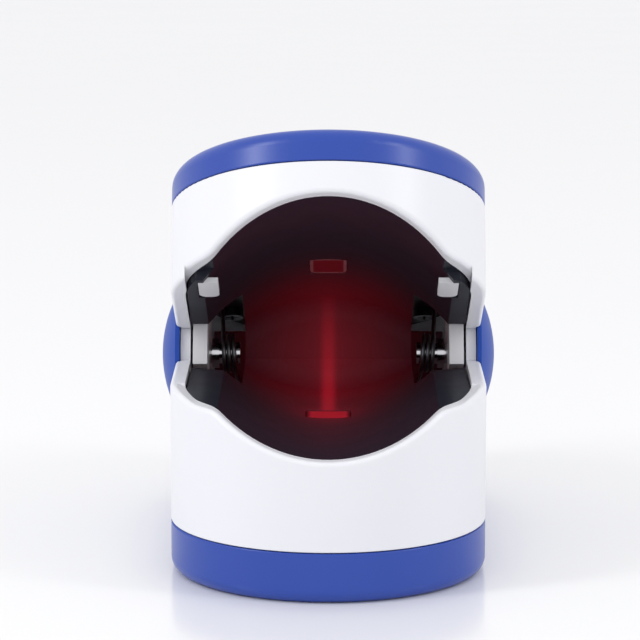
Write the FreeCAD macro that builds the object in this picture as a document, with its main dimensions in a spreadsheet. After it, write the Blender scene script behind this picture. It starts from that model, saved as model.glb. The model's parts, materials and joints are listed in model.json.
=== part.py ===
import FreeCAD, Part
import math
import os
import re

import Sketcher
from FreeCAD import Placement, Rotation, Vector

# A fingertip pulse oximeter: two sprung jaws on a cross hinge, held open at the rest pose.
# Frame: origin at the middle of the footprint, +X to the wearer's right, the finger goes in
# towards +Y, +Z up. Every upper piece is drawn with the jaws shut and then swung open.

DIMENSIONS = [
    # alias, millimetres (or degrees), what it is
    ("BodyLength", 60.0, "overall length of both shells"),
    ("BodyWidth", 34.0, "width of both shells, and twice the radius of their round ends"),
    ("Wall", 1.6, "thickness of the moulded walls"),
    ("Seat", 0.15, "gap between an inner piece and the shell around it"),
    ("Seam", 0.1, "open seam between a blue cover and its white shell"),
    ("SeamRound", 0.15, "rounding of the edges along that seam"),
    ("LipRound", 0.45, "rounding of the white lips"),
    ("ShoulderRound", 2.4, "rounding where the mouth's arch turns into its shoulders"),
    ("OpenAngle", 25.0, "how far the upper jaw is swung open"),
    ("HingeY", 6.0, "hinge axis, measured from the middle towards the rear"),
    ("HingeZ", 20.0, "height of the hinge axis"),
    # lower jaw
    ("BandTop", 5.4, "top of the blue base cover"),
    ("FloorThick", 1.5, "floor of the base cover, and the battery door"),
    ("EdgeRound", 1.4, "rounding of the bottom edge"),
    ("LowerLip", 20.3, "height of the lower shell's parting edge"),
    ("LowerRear", 14.2, "height of the lower shell at its rear end"),
    ("LowerArchFoot", 15.0, "lowest point of the finger arch"),
    ("LowerArchRadius", 17.6, "radius of the lower finger arch"),
    ("LowerShoulder", 19.55, "height of the shoulder beside the lower arch"),
    ("ShoulderX", 15.2, "half width of the mouth between the cheeks"),
    ("LowerDeck", 12.6, "underside of the lower frame's deck"),
    ("DeckThick", 1.2, "thickness of the lower frame's deck"),
    ("PadBase", 13.95, "underside of the lower finger pad"),
    ("PadRim", 19.9, "rim of the lower finger pad"),
    # upper jaw, with the jaws shut
    ("UpperLip", 21.2, "height of the upper shell's parting edge"),
    ("UpperRear", 27.2, "height of the upper parting edge at the rear end"),
    ("UpperArchTop", 27.75, "highest point of the finger arch"),
    ("UpperArchRadius", 17.1, "radius of the upper finger arch"),
    ("UpperShoulder", 22.6, "height of the shoulder beside the upper arch"),
    ("BezelFoot", 31.2, "lower edge of the blue top bezel"),
    ("BodyTop", 35.0, "top of the closed object"),
    ("TopRound", 1.8, "rounding of the top edge"),
    ("RoofThick", 1.4, "roof of the top bezel"),
    ("UpperDeck", 28.4, "underside of the upper frame's deck"),
    ("UpperDeckThick", 1.0, "thickness of the upper frame's deck"),
    ("UpperRim", 21.35, "rim of the upper finger pad"),
    ("UpperPadTop", 28.3, "top of the upper finger pad"),
    # the finger channel's back end
    ("PadHalf", 13.4, "half width of a pad between its frame's rails"),
    ("ThroatHalf", 9.6, "half width of a pad between the springs"),
    ("PadBack", -1.5, "where the wide front part of a pad ends"),
    ("StopFace", 11.2, "front face of the lower finger stop"),
    ("StopBack", 12.0, "back face of the lower finger stop"),
    ("UpperStopFace", 12.5, "front face of the upper finger stop, which passes behind the lower one"),
    ("UpperStopBack", 13.7, "back face of the upper finger stop"),
    ("UpperStopFoot", 20.8, "lower edge of the upper finger stop"),
    ("SkirtY", 18.2, "rubber light skirt behind the springs"),
    # hinge
    ("EarRadius", 6.1, "round ear of the lower shell"),
    ("EarClear", 6.4, "round notch of the upper shell around that ear"),
    ("EarOuter", 16.5, "outer face of the lower ear"),
    ("BlockInner", 13.5, "inner face of the upper frame's hinge block"),
    ("BlockOuter", 15.1, "outer face of the upper frame's hinge block"),
    ("PinRadius", 1.2, "hinge pin"),
    ("PinRun", 0.05, "running clearance around the pin"),
    ("PinInner", 10.0, "inner end of a hinge pin"),
    ("PinOuter", 17.4, "outer end of a hinge pin"),
    ("CapRadius", 6.75, "blue side cap"),
    ("CapFoot", 16.6, "inner face of a side cap"),
    ("CapCrown", 18.8, "outermost point of a side cap"),
    ("CapRecess", 6.95, "round recess for a side cap"),
    ("CoilRadius", 2.0, "mean radius of a torsion spring's coil"),
    ("CoilWire", 0.25, "radius of its wire"),
    ("CoilPitch", 0.56, "pitch of its turns"),
    ("CoilStart", 10.55, "where its first turn begins"),
    ("UpperLeg", 9.0, "leg that bears on the upper frame"),
    ("LowerLeg", 8.6, "leg that bears on the lower frame"),
    # sensor
    ("SensorY", -2.5, "middle of the detector"),
    ("EmitterMid", -4.5, "middle of the emitter"),
    ("EmitterX", 5.1, "emitter window across"),
    ("EmitterY", 4.6, "emitter window along"),
    ("DetectorX", 4.2, "detector window across"),
    ("DetectorY", 5.5, "detector window along"),
    # power
    ("CellRadius", 5.25, "AAA cell"),
    ("CellLength", 44.5, "AAA cell with its nub"),
    ("CellX", 5.35, "axis of a cell, from the middle"),
    ("CellZ", 7.1, "height of a cell's axis"),
    ("DoorHalf", 11.5, "half width of the battery door"),
    ("DoorFront", -20.0, "front edge of the battery door"),
    ("DoorGap", 0.15, "gap around the battery door"),
    # top
    ("WindowX", 17.0, "display opening across"),
    ("WindowY", 27.0, "display opening along"),
    ("WindowMid", -8.0, "middle of the display opening"),
    ("ButtonY", 15.0, "middle of the power button"),
    ("ButtonRadius", 4.0, "power button"),
    ("BoardFoot", 29.9, "underside of the main board"),
    ("BoardThick", 0.8, "thickness of the main board"),
    # screws
    ("ScrewRadius", 0.8, "screw shank"),
    ("HeadRadius", 1.3, "screw head"),
    ("PostRadius", 1.6, "screw post"),
    ("LowerScrewX", 13.8, "lower screws, from the middle"),
    ("UpperScrewX", 11.3, "upper screws, from the middle"),
]

doc = FreeCAD.newDocument("PulseOximeter")
sheet = doc.addObject("Spreadsheet::Sheet", "Dimensions")
for row, (alias, number, note) in enumerate(DIMENSIONS, start=1):
    sheet.set(f"A{row}", alias)
    sheet.set(f"B{row}", str(number))
    sheet.set(f"C{row}", note)
    sheet.setAlias(f"B{row}", alias)
doc.recompute()

SIDES = (("left", -1), ("right", 1))
REACH = "25"          # further than any piece reaches sideways
subparts = []


# ---------------------------------------------------------------- helpers

def size(alias):
    return float(sheet.get(alias))


def sized(text):
    """An expression in which each capitalised word is a cell of the sheet."""
    return re.sub(r"\b([A-Z][A-Za-z]+)\b", r"Dimensions.\1", str(text))


def bind(obj, prop, text):
    obj.setExpression(prop, sized(text))


def keep(obj, name):
    """Makes an object one of the sub-parts that are written to a file."""
    obj.Label = name
    subparts.append(obj)
    return obj


def swung_open(obj):
    """Swings a piece of the upper jaw open about the hinge axis."""
    hinge = Vector(0, size("HingeY"), size("HingeZ"))
    tilt = Rotation(Vector(1, 0, 0), -size("OpenAngle"))
    obj.Placement = Placement(Vector(0, 0, 0), tilt, hinge)
    return obj


def new_sketch(body, name, role, offset):
    """A sketch parallel to one of the body's own origin planes."""
    sketch = body.newObject("Sketcher::SketchObject", name)
    plane = next(item for item in body.Origin.OriginFeatures if item.Role == role)
    sketch.AttachmentSupport = (plane, [""])
    sketch.MapMode = "FlatFace"
    bind(sketch, "AttachmentOffset.Base.z", offset)
    return sketch


def fix(sketch, kind, where, number, text):
    """Adds one dimension to a sketch and ties it to the sheet."""
    index = sketch.addConstraint(Sketcher.Constraint(kind, *where, number))
    bind(sketch, f"Constraints[{index}]", text)


def draw_corners(sketch, corners):
    """A closed outline of straight lines; each corner is a pair of expressions."""
    first = sketch.GeometryCount
    count = len(corners)
    spread = [Vector(math.cos(2 * math.pi * i / count), math.sin(2 * math.pi * i / count), 0) * 10
              for i in range(count)]
    for i in range(count):
        sketch.addGeometry(Part.LineSegment(spread[i], spread[(i + 1) % count]), False)
    for i in range(count):
        following = first + (i + 1) % count
        sketch.addConstraint(Sketcher.Constraint("Coincident", first + i, 2, following, 1))
    for i, (across, up) in enumerate(corners):
        fix(sketch, "DistanceX", (-1, 1, first + i, 1), spread[i].x, across)
        fix(sketch, "DistanceY", (-1, 1, first + i, 1), spread[i].y, up)


def draw_rectangle(sketch, across, up):
    draw_corners(sketch, [(across[0], up[0]), (across[1], up[0]), (across[1], up[1]), (across[0], up[1])])


def draw_circle(sketch, across, up, radius):
    index = sketch.addGeometry(Part.Circle(Vector(1, 1, 0), Vector(0, 0, 1), 1), False)
    fix(sketch, "DistanceX", (-1, 1, index, 3), 1, across)
    fix(sketch, "DistanceY", (-1, 1, index, 3), 1, up)
    fix(sketch, "Radius", (index,), 1, radius)


def draw_outline(sketch, inset):
    """The oval plan of the object, a given distance inside its outer wall."""
    radius = size("BodyWidth") / 2 - 1
    middle = (size("BodyLength") - size("BodyWidth")) / 2
    up = Vector(0, 0, 1)
    rear = Part.ArcOfCircle(Part.Circle(Vector(0, middle, 0), up, radius), 0, math.pi)
    front = Part.ArcOfCircle(Part.Circle(Vector(0, -middle, 0), up, radius), math.pi, 2 * math.pi)
    left = Part.LineSegment(Vector(-radius, middle, 0), Vector(-radius, -middle, 0))
    right = Part.LineSegment(Vector(radius, -middle, 0), Vector(radius, middle, 0))
    ring = [sketch.addGeometry(curve, False) for curve in (rear, left, front, right)]
    for before, after in zip(ring, ring[1:] + ring[:1]):
        sketch.addConstraint(Sketcher.Constraint("Tangent", before, 2, after, 1))
    sketch.addConstraint(Sketcher.Constraint("Equal", ring[0], ring[2]))
    for arc, sign in ((ring[0], ""), (ring[2], "-")):
        sketch.addConstraint(Sketcher.Constraint("PointOnObject", arc, 3, -2))
        fix(sketch, "DistanceY", (-1, 1, arc, 3), middle if not sign else -middle,
            f"{sign}(BodyLength - BodyWidth) / 2")
    fix(sketch, "Radius", (ring[0],), radius, f"BodyWidth / 2 - ({inset})")


def extrude(body, sketch, length):
    """Adds the sketch's solid, along the sketch's normal."""
    before = body.Shape.Volume if body.Tip else 0.0
    pad = body.newObject("PartDesign::Pad", sketch.Name + "Pad")
    pad.Profile = sketch
    bind(pad, "Length", length)
    doc.recompute()
    if body.Shape.Volume <= before:
        raise RuntimeError(f"{pad.Name} added nothing")
    return pad


def carve(body, sketch, length):
    """Takes the sketch's solid away, along the sketch's normal."""
    before = body.Shape.Volume
    pocket = body.newObject("PartDesign::Pocket", sketch.Name + "Pocket")
    pocket.Profile = sketch
    pocket.Reversed = True
    bind(pocket, "Length", length)
    doc.recompute()
    if body.Shape.Volume >= before - 1e-6:
        raise RuntimeError(f"{pocket.Name} cut nothing")
    return pocket


def layer(body, name, inset, low, high, action=extrude):
    """The oval plan between two heights, added or taken away."""
    sketch = new_sketch(body, name, "XY_Plane", low)
    draw_outline(sketch, inset)
    return action(body, sketch, f"({high}) - ({low})")


def trim(body, name, inset, low, high):
    """Takes away what lies outside the oval plan."""
    sketch = new_sketch(body, name, "XY_Plane", low)
    draw_outline(sketch, inset)
    draw_rectangle(sketch, ("-" + REACH, REACH), ("-BodyLength", "BodyLength"))
    return carve(body, sketch, f"({high}) - ({low})")


def block(body, name, across, along, low, high, action=extrude):
    """A rectangular block on the XY plane."""
    sketch = new_sketch(body, name, "XY_Plane", low)
    draw_rectangle(sketch, across, along)
    return action(body, sketch, f"({high}) - ({low})")


def post(body, name, spots, radius, low, high, action=extrude):
    """Upright round posts or holes."""
    sketch = new_sketch(body, name, "XY_Plane", low)
    for across, along in spots:
        draw_circle(sketch, across, along, radius)
    return action(body, sketch, f"({high}) - ({low})")


def lengthwise(body, name, corners, front, back, action=extrude):
    """A profile across the object, carried from one Y to another."""
    sketch = new_sketch(body, name, "XZ_Plane", f"-({back})")
    draw_corners(sketch, corners)
    return action(body, sketch, f"({back}) - ({front})")


def arch(body, name, height, radius, front, back):
    """A round channel along Y."""
    sketch = new_sketch(body, name, "XZ_Plane", f"-({back})")
    draw_circle(sketch, "0", height, radius)
    return carve(body, sketch, f"({back}) - ({front})")


def sideways(body, name, corners, low, high, action=carve):
    """A profile seen from the side, carried from one X to another."""
    sketch = new_sketch(body, name, "YZ_Plane", low)
    draw_corners(sketch, corners)
    return action(body, sketch, f"({high}) - ({low})")


def hinge_round(body, name, radius, inner, outer, action=carve):
    """A round ear, notch or hole about the hinge axis, on both sides."""
    for side, sign in SIDES:
        low = inner if sign > 0 else f"-({outer})"
        sketch = new_sketch(body, f"{name}_{side}", "YZ_Plane", low)
        draw_circle(sketch, "HingeY", "HingeZ", radius)
        action(body, sketch, f"({outer}) - ({inner})")


def soften(body, name, radius, chosen):
    """Rounds the edges of the body that a test picks."""
    tip = body.Tip
    names = [f"Edge{i}" for i, edge in enumerate(tip.Shape.Edges, start=1) if chosen(edge)]
    if not names:
        raise RuntimeError(f"{name} found no edge")
    fillet = body.newObject("PartDesign::Fillet", name)
    fillet.Base = (tip, names)
    bind(fillet, "Radius", radius)
    doc.recompute()
    return fillet


def box(name, across, along, up):
    """A Part box from three pairs of expressions."""
    item = doc.addObject("Part::Box", name)
    for prop, base, (low, high) in (("Length", "x", across), ("Width", "y", along), ("Height", "z", up)):
        bind(item, prop, f"({high}) - ({low})")
        bind(item, "Placement.Base." + base, low)
    return item


def rod(name, axis, centre, radius, length):
    """A Part cylinder along X, Y or Z from a centre at its start."""
    turns = {"X": Rotation(Vector(0, 1, 0), 90), "Y": Rotation(Vector(1, 0, 0), -90), "Z": Rotation()}
    item = doc.addObject("Part::Cylinder", name)
    item.Placement = Placement(Vector(), turns[axis])
    bind(item, "Radius", radius)
    bind(item, "Height", length)
    for base, text in zip("xyz", centre):
        bind(item, "Placement.Base." + base, text)
    return item


def joined(name, items):
    whole = doc.addObject("Part::MultiFuse", name)
    whole.Shapes = items
    return whole


def shared(name, items):
    whole = doc.addObject("Part::MultiCommon", name)
    whole.Shapes = items
    return whole


def without(name, base, tool):
    whole = doc.addObject("Part::Cut", name)
    whole.Base = base
    whole.Tool = tool
    return whole


def grouped(name, items):
    """Separate solids that share one node."""
    whole = doc.addObject("Part::Compound", name)
    whole.Links = items
    return whole


def upright_rounded(name, item, radius):
    """Rounds the upright edges of a box."""
    doc.recompute()
    rounded = doc.addObject("Part::Fillet", name)
    rounded.Base = item
    rounded.Edges = [(i, radius, radius) for i, edge in enumerate(item.Shape.Edges, start=1)
                     if abs(edge.tangentAt(edge.FirstParameter).z) > 0.99]
    return rounded


def new_body(name):
    return keep(doc.addObject("PartDesign::Body", name), name)


def mirror_pairs(half):
    """A whole outline from its right half, which runs from one end of the middle to the other."""
    return half + [(f"-({across})", up) for across, up in reversed(half)]


def spots_at(across, rows):
    return [(f"{sign}{across}", along) for sign in ("-", "") for along in rows]


LOWER_SCREWS = spots_at("LowerScrewX", ("-13", "17"))
UPPER_SCREWS = spots_at("UpperScrewX", ("-20", "17.5"))


# ---------------------------------------------------------------- lower jaw

def lower_mouth(body):
    """The finger arch with its shoulders, cut through the front of a piece."""
    arch(body, "LowerArch", "LowerArchFoot + LowerArchRadius", "LowerArchRadius", "-BodyLength", "-14")
    half = [("ShoulderX - 5", "LowerShoulder - 0.1"), ("ShoulderX - 1.2", "LowerShoulder"),
            ("ShoulderX + 2", "LowerLip + 0.35"), ("ShoulderX + 2", "LowerLip + 1")]
    corners = mirror_pairs(half)
    lengthwise(body, "LowerMouth", corners, "-BodyLength", "-14", carve)


def lower_housing():
    body = new_body("lower_housing")
    layer(body, "LowerOuter", "0", "BandTop + Seam", "LowerLip")
    layer(body, "LowerInner", "Wall", "BandTop", "LowerLip + 1", carve)
    sideways(body, "LowerSlope",
             [("HingeY", "LowerLip"), ("BodyLength / 2 + 1", "LowerRear"),
              ("BodyLength / 2 + 1", "LowerLip + 1"), ("HingeY", "LowerLip + 1")],
             "-" + REACH, REACH)
    lower_mouth(body)
    post(body, "LowerPosts", LOWER_SCREWS, "PostRadius + 0.2", "BandTop + Seam", "LowerDeck - 0.1")
    hinge_round(body, "LowerEar", "EarRadius", "BodyWidth / 2 - Wall", "EarOuter", extrude)
    hinge_round(body, "LowerRecess", "CapRecess", "EarOuter", REACH)
    hinge_round(body, "LowerPinHole", "PinRadius + 0.01", "12", REACH)
    post(body, "LowerPostHoles", LOWER_SCREWS, "ScrewRadius", "BandTop", "LowerDeck - 1", carve)
    soften(body, "LowerShoulderRound", "ShoulderRound", lambda edge: is_mouth_corner(edge, 17, 20.2))
    soften(body, "LowerLipRound", "LipRound",
           lambda edge: on_wall(edge, 0) and edge.BoundBox.ZMin > 13 and edge.CenterOfMass.y < -1)
    soften(body, "LowerSeamRound", "SeamRound", lambda edge: on_wall(edge, 0) and edge.BoundBox.ZMax < 6)
    return body


def on_wall(edge, inset):
    """Whether an edge lies on the oval wall, and not along its height."""
    radius = size("BodyWidth") / 2 - inset
    straight = (size("BodyLength") - size("BodyWidth")) / 2

    def gap(point):
        past = max(abs(point.y) - straight, 0)
        return abs(math.hypot(point.x, past) - radius)

    start, end = edge.ParameterRange
    points = [edge.valueAt(start + (end - start) * i / 4) for i in range(5)]
    upright = edge.BoundBox.XLength < 0.01 and edge.BoundBox.YLength < 0.01
    return not upright and all(gap(point) < 0.01 for point in points)


def is_mouth_corner(edge, lowest, highest):
    """A short lengthwise edge in the front wall, where a shoulder turns or meets the arch."""
    middle = edge.CenterOfMass
    lengthwise_edge = edge.BoundBox.XLength < 0.01 and edge.BoundBox.ZLength < 0.01
    return lengthwise_edge and 9 < abs(middle.x) < 15 and lowest < middle.z < highest and middle.y < -15


def base_cover():
    body = new_body("base_cover")
    layer(body, "BaseOuter", "0", "0", "BandTop")
    soften(body, "BaseEdge", "EdgeRound", lambda edge: edge.BoundBox.ZMax < 0.01)
    layer(body, "BaseInner", "Wall", "FloorThick", "BandTop + 1", carve)
    along = ("DoorFront - DoorGap", "BodyLength")
    block(body, "DoorSlot", ("-DoorHalf - DoorGap", "DoorHalf + DoorGap"), along,
          "-1", "FloorThick + DoorGap", carve)
    block(body, "DoorGroove", ("-DoorHalf - 0.75", "DoorHalf + 0.75"), along, "0.45", "1.15", carve)
    post(body, "BaseScrewHoles", LOWER_SCREWS, "ScrewRadius + 0.1", "-1", "FloorThick + 1", carve)
    post(body, "BaseScrewSinks", LOWER_SCREWS, "HeadRadius + 0.1", "-1", "0.8", carve)
    soften(body, "BaseSeamRound", "SeamRound", lambda edge: on_wall(edge, 0) and edge.BoundBox.ZMin > 5)
    return body


def battery_door():
    body = new_body("battery_door")
    layer(body, "DoorPlate", "0", "0", "FloorThick")
    soften(body, "DoorEdge", "EdgeRound", lambda edge: edge.BoundBox.ZMax < 0.01)
    for side, sign in SIDES:
        far = (f"{sign} * (DoorHalf + 0.6)", f"{sign} * 20")
        near = (f"{sign} * DoorHalf", f"{sign} * 20")
        along = ("-BodyLength", "BodyLength")
        block(body, f"DoorSide_{side}", far, along, "-1", "FloorThick + 1", carve)
        block(body, f"DoorUnder_{side}", near, along, "-1", "0.6", carve)
        block(body, f"DoorOver_{side}", near, along, "1.05", "FloorThick + 1", carve)
    block(body, "DoorFrontCut", ("-20", "20"), ("-BodyLength", "DoorFront"), "-1", "FloorThick + 1", carve)
    grips = block(body, "DoorGrip", ("-6", "6"), ("14", "14.8"), "-1", "0.4", carve)
    pattern = body.newObject("PartDesign::LinearPattern", "DoorGrips")
    pattern.Originals = [grips]
    pattern.Direction = (grips.Profile[0], ["V_Axis"])
    pattern.Length = 8
    pattern.Occurrences = 6
    body.Tip = pattern
    doc.recompute()
    return body


def lower_frame():
    """White chassis: the deck over the cells, the pad's rails and the cells' end walls."""
    body = new_body("lower_frame")
    layer(body, "LowerDeckPlate", "Wall + Seat", "LowerDeck", "LowerDeck + DeckThick")
    top = "LowerDeck + DeckThick"
    for side, sign in SIDES:
        block(body, f"LowerRail_{side}", (f"{sign} * (PadHalf + 0.2)", f"{sign} * (BodyWidth / 2 - Wall - Seat)"),
              ("-12.5", "PadBack"), top, "PadRim - 1.4")
    for end, sign in (("front", "-"), ("rear", "")):
        block(body, f"CellWall_{end}", ("-8.3", "8.3"), (f"{sign}24.6", f"{sign}25.4"), "FloorThick + 0.4", "LowerDeck")
    block(body, "CellRidge", ("-0.35", "0.35"), ("-20", "20"), "LowerDeck - 2", "LowerDeck")
    block(body, "EmitterOpening", ("-4.5", "4.5"), ("EmitterMid - 3.5", "EmitterMid + 3.5"), "LowerDeck - 3", top, carve)
    return body


def lower_finger_pad():
    body = new_body("lower_finger_pad")
    rim_half = "BodyWidth / 2 - Wall - 0.2"
    under = "PadRim - 1.2"
    half = [(rim_half, "PadRim"), (rim_half, under), ("PadHalf", under), ("PadHalf", "PadBase")]
    lengthwise(body, "LowerPadFront", mirror_pairs(half), "-BodyLength / 2", "PadBack")
    trim(body, "LowerPadTrim", "Wall + 0.15", "PadBase - 1", "PadRim + 1")
    block(body, "LowerPadThroat", ("-ThroatHalf", "ThroatHalf"), ("PadBack", "StopBack"), "PadBase", "PadRim - 0.4")
    sideways(body, "LowerPadSlope",
             [("HingeY - 2", "HingeZ - 0.4"), ("StopBack + 1", "HingeZ - 1.9"),
              ("StopBack + 1", "HingeZ + 1"), ("HingeY - 2", "HingeZ + 1")], "-" + REACH, REACH)
    arch(body, "LowerTrough", "LowerArchFoot + LowerArchRadius", "LowerArchRadius", "-BodyLength", "StopFace")
    lengthwise(body, "LowerPadShoulder",
               [("-10.2", "LowerShoulder - 0.3"), ("-20", "LowerShoulder + 0.5"), ("-20", "PadRim + 1"),
                ("20", "PadRim + 1"), ("20", "LowerShoulder + 0.5"), ("10.2", "LowerShoulder - 0.3")],
               "-BodyLength", "PadBack", carve)
    block(body, "EmitterHole", ("-EmitterX / 2", "EmitterX / 2"),
          ("EmitterMid - EmitterY / 2", "EmitterMid + EmitterY / 2"), "PadBase - 1", "PadRim", carve)
    soften(body, "LowerStopRound", "2.2", lambda edge: is_stop_corner(edge, "StopFace"))
    block(body, "LowerPadTongue", ("-ThroatHalf", "ThroatHalf"), ("StopBack", "SkirtY"), "PadBase", "PadBase + 1")
    block(body, "LowerPadSkirt", ("-PadHalf", "PadHalf"), ("SkirtY", "SkirtY + 1"), "PadBase", "HingeZ + 0.2")
    return body


def is_stop_corner(edge, face):
    """The curved edge where a trough runs into a finger stop."""
    bounds = edge.BoundBox
    flat = bounds.YLength < 0.01 and abs(bounds.YMin - size(face)) < 0.01
    return flat and bounds.XLength > 10 and bounds.ZLength > 1


def emitter():
    """Window, emitter and their small board, under the finger."""
    along = ("EmitterMid - EmitterY / 2 + 0.05", "EmitterMid + EmitterY / 2 - 0.05")
    pane = box("EmitterPane", ("-EmitterX / 2 + 0.05", "EmitterX / 2 - 0.05"), along, ("14.3", "LowerArchFoot - 0.05"))
    keep(upright_rounded("emitter_window", pane, 0.4), "emitter_window")
    chips = [box(f"EmitterChip_{side}", (f"{sign} * 1.1 - 0.7", f"{sign} * 1.1 + 0.7"),
                 ("EmitterMid - 0.7", "EmitterMid + 0.7"), ("13.55", "14.15")) for side, sign in SIDES]
    keep(grouped("emitter_leds", chips), "emitter_leds")
    keep(box("emitter_board", ("-4.2", "4.2"), ("EmitterMid - 3.2", "EmitterMid + 3.2"), ("12.75", "13.5")),
         "emitter_board")


def battery_cells():
    for side, sign in SIDES:
        facing = -sign
        start = "-CellLength / 2" if facing > 0 else "-CellLength / 2 + 0.8"
        can = rod(f"Can_{side}", "Y", (f"{sign} * CellX", start, "CellZ"), "CellRadius", "CellLength - 0.8")
        nub_start = "CellLength / 2 - 0.8" if facing > 0 else "-CellLength / 2"
        nub = rod(f"Nub_{side}", "Y", (f"{sign} * CellX", nub_start, "CellZ"), "1.8", "0.8")
        keep(joined(f"battery_cell_{side}", [can, nub]), f"battery_cell_{side}")


def battery_contacts():
    """Flat plates at the nubs, coil springs at the flat ends, and a bridge across the front."""
    plates = []
    for side, sign in SIDES:
        nub_end = -sign
        low, high = ("23.0", "23.35") if nub_end > 0 else ("-23.35", "-23.0")
        plates.append(box(f"NubPlate_{side}", (f"{sign} * CellX - 3.4", f"{sign} * CellX + 3.4"),
                          (low, high), ("CellZ - 3.2", "CellZ + 3.2")))
        low, high = ("-24.5", "-24.2") if nub_end > 0 else ("24.2", "24.5")
        plates.append(box(f"FlatPlate_{side}", (f"{sign} * CellX - 3.4", f"{sign} * CellX + 2.7"),
                          (low, high), ("CellZ - 3.2", "CellZ + 3.2")))
    return plates


def coil(radius, wire, pitch, turns):
    """A round-wire coil along +Z from the origin, with the point, direction and angle of its far end."""
    sweep, height, slope = 2 * math.pi * turns, pitch * turns, pitch / (2 * math.pi * radius)
    last = Vector(radius * math.cos(sweep), radius * math.sin(sweep), height)
    outward = (Vector(0, -1, -slope), Vector(-math.sin(sweep), math.cos(sweep), slope))
    ring = Part.Wire(Part.makeCircle(wire, Vector(radius, 0, 0), outward[0]))
    shape = Part.Wire(Part.makeHelix(pitch, height, radius)).makePipeShell([ring], True, True)
    return shape, (Vector(radius, 0, 0), last), outward


def contact_springs():
    """One coil at the flat end of each cell."""
    coils = []
    for side, sign in SIDES:
        turn = Rotation(Vector(1, 0, 0), 90 * sign)
        item = doc.addObject("Part::Feature", f"ContactCoil_{side}")
        item.Shape = coil(2.6, 0.25, 0.55, 2.25)[0]
        item.Placement = Placement(Vector(sign * size("CellX"), sign * 23.9, size("CellZ")), turn)
        coils.append(item)
    keep(grouped("battery_springs", coils), "battery_springs")


def screws(name, spots, head_low, head_high, shank_end):
    """Identical screws: a round head and a shank above it."""
    items = []
    for number, (across, along) in enumerate(spots, start=1):
        head = rod(f"{name}_head_{number}", "Z", (across, along, head_low), "HeadRadius",
                   f"({head_high}) - ({head_low})")
        shank = rod(f"{name}_shank_{number}", "Z", (across, along, head_high), "ScrewRadius - 0.02",
                    f"({shank_end}) - ({head_high})")
        cross = [box(f"{name}_slot_{number}", (f"{across} - 0.8", f"{across} + 0.8"),
                     (f"{along} - 0.15", f"{along} + 0.15"), (f"{head_low} - 1", f"{head_low} + 0.4")),
                 box(f"{name}_cross_{number}", (f"{across} - 0.15", f"{across} + 0.15"),
                     (f"{along} - 0.8", f"{along} + 0.8"), (f"{head_low} - 1", f"{head_low} + 0.4"))]
        whole = joined(f"{name}_solid_{number}", [head, shank])
        items.append(without(f"{name}_{number}", whole, joined(f"{name}_drive_{number}", cross)))
    return keep(grouped(name, items), name)


# ---------------------------------------------------------------- hinge

def side_caps():
    """Shallow domes over the hinge, each pressed onto its pin."""
    ball_radius = "(CapRadius ^ 2 + (CapCrown - CapFoot - 0.5) ^ 2) / (2 * (CapCrown - CapFoot - 0.5))"
    for side, sign in SIDES:
        low = "CapFoot" if sign > 0 else "-CapFoot - 4"
        drum = rod(f"CapDrum_{side}", "X", (low, "HingeY", "HingeZ"), "CapRadius", "4")
        ball = doc.addObject("Part::Sphere", f"CapBall_{side}")
        bind(ball, "Radius", ball_radius)
        bind(ball, "Placement.Base.x", f"{sign} * (CapCrown - {ball_radius})")
        bind(ball, "Placement.Base.y", "HingeY")
        bind(ball, "Placement.Base.z", "HingeZ")
        dome = shared(f"CapDome_{side}", [drum, ball])
        hole_low = "CapFoot - 1" if sign > 0 else "-PinOuter - 0.1"
        hole = rod(f"CapHole_{side}", "X", (hole_low, "HingeY", "HingeZ"), "PinRadius + 0.01",
                   "PinOuter - CapFoot + 1.1")
        keep(without(f"side_cap_{side}", dome, hole), f"side_cap_{side}")


def hinge_pins():
    for side, sign in SIDES:
        low = "PinInner" if sign > 0 else "-PinOuter"
        pin = rod(f"Pin_{side}", "X", (low, "HingeY", "HingeZ"), "PinRadius", "PinOuter - PinInner")
        collar_low = "12.35" if sign > 0 else "-13.15"
        collar = rod(f"Collar_{side}", "X", (collar_low, "HingeY", "HingeZ"), "PinRadius + 0.5", "0.8")
        keep(joined(f"hinge_pin_{side}", [pin, collar]), f"hinge_pin_{side}")


def torsion_springs():
    """A close coil round each pin, with a leg under the upper deck and one over the lower deck."""
    upper_angle, lower_angle = 100, 247 + 2 * 360
    turns = (lower_angle - upper_angle) / 360
    shape, ends, outward = coil(size("CoilRadius"), size("CoilWire"), size("CoilPitch"), turns)
    legs = [Part.makeCylinder(size("CoilWire"), length, end, way)
            for length, end, way in zip((size("UpperLeg"), size("LowerLeg")), ends, outward)]
    spring = shape.fuse(legs)
    along_x = Rotation(Vector(0, 1, 0), Vector(0, 0, 1), Vector(1, 0, 0), "ZXY")
    start = Vector(-size("CoilStart") - size("CoilPitch") * turns, size("HingeY"), size("HingeZ"))
    spring.Placement = Placement(start, Rotation(Vector(1, 0, 0), upper_angle).multiply(along_x))
    mirrored = spring.mirror(Vector(0, 0, 0), Vector(1, 0, 0))
    for side, finished in (("left", spring), ("right", mirrored)):
        item = doc.addObject("Part::Feature", f"torsion_spring_{side}")
        item.Shape = finished
        keep(item, f"torsion_spring_{side}")


# ---------------------------------------------------------------- upper jaw

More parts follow.
